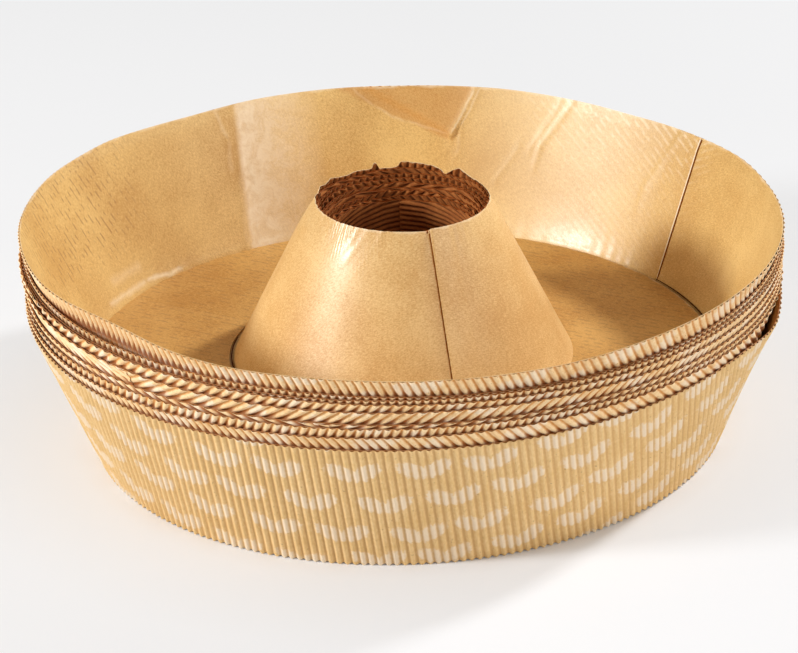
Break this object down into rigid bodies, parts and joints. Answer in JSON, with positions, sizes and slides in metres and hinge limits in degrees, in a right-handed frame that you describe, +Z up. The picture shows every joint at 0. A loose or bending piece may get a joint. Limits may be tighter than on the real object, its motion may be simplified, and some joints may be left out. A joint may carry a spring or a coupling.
{
  "type": "ring baking mould stack",
  "caption": "Nested stack of flared ring-shaped baking moulds in corrugated kraft paper, each with a wall, a flat base and a tapered open centre tube.",
  "frame": {"origin": "middle of the flat face that the lowest mould stands on", "axes": "+Z up along the centre tubes, the way the moulds lift apart; the stack is round, so +X and +Y are not marked, and the picture looks along +Y"},
  "size_m": [0.24, 0.24, 0.0753],
  "materials": {
    "fluted_kraft_board": "single-face corrugated kraft paper, pale flutes outside with a cream leaf print, glazed golden liner inside",
    "base_kraft_board": "corrugated kraft paper laid flat, satin liner up with the flutes faintly showing through",
    "glazed_kraft_liner": "corrugated kraft paper with its glazed golden liner outwards and its flutes inside the tube"
  },
  "bodies": {
    "mould_1": {"mould_1_wall": "fluted_kraft_board", "mould_1_base": "base_kraft_board", "mould_1_tube": "glazed_kraft_liner"},
    "mould_2": {"mould_2_wall": "fluted_kraft_board", "mould_2_base": "base_kraft_board", "mould_2_tube": "glazed_kraft_liner"},
    "mould_3": {"mould_3_wall": "fluted_kraft_board", "mould_3_base": "base_kraft_board", "mould_3_tube": "glazed_kraft_liner"},
    "mould_4": {"mould_4_wall": "fluted_kraft_board", "mould_4_base": "base_kraft_board", "mould_4_tube": "glazed_kraft_liner"},
    "mould_5": {"mould_5_wall": "fluted_kraft_board", "mould_5_base": "base_kraft_board", "mould_5_tube": "glazed_kraft_liner"},
    "mould_6": {"mould_6_wall": "fluted_kraft_board", "mould_6_base": "base_kraft_board", "mould_6_tube": "glazed_kraft_liner"},
    "mould_7": {"mould_7_wall": "fluted_kraft_board", "mould_7_base": "base_kraft_board", "mould_7_tube": "glazed_kraft_liner"},
    "mould_8": {"mould_8_wall": "fluted_kraft_board", "mould_8_base": "base_kraft_board", "mould_8_tube": "glazed_kraft_liner"},
    "mould_9": {"mould_9_wall": "fluted_kraft_board", "mould_9_base": "base_kraft_board", "mould_9_tube": "glazed_kraft_liner"}
  },
  "joints": [
    {"name": "lift_mould_2", "type": "slide", "parent": "mould_1", "child": "mould_2", "axis": [0, 0, 1], "range_m": [0, 0.06]},
    {"name": "lift_mould_3", "type": "slide", "parent": "mould_2", "child": "mould_3", "axis": [0, 0, 1], "range_m": [0, 0.06]},
    {"name": "lift_mould_4", "type": "slide", "parent": "mould_3", "child": "mould_4", "axis": [0, 0, 1], "range_m": [0, 0.06]},
    {"name": "lift_mould_5", "type": "slide", "parent": "mould_4", "child": "mould_5", "axis": [0, 0, 1], "range_m": [0, 0.06]},
    {"name": "lift_mould_6", "type": "slide", "parent": "mould_5", "child": "mould_6", "axis": [0, 0, 1], "range_m": [0, 0.06]},
    {"name": "lift_mould_7", "type": "slide", "parent": "mould_6", "child": "mould_7", "axis": [0, 0, 1], "range_m": [0, 0.06]},
    {"name": "lift_mould_8", "type": "slide", "parent": "mould_7", "child": "mould_8", "axis": [0, 0, 1], "range_m": [0, 0.06]},
    {"name": "lift_mould_9", "type": "slide", "parent": "mould_8", "child": "mould_9", "axis": [0, 0, 1], "range_m": [0, 0.06]}
  ]
}
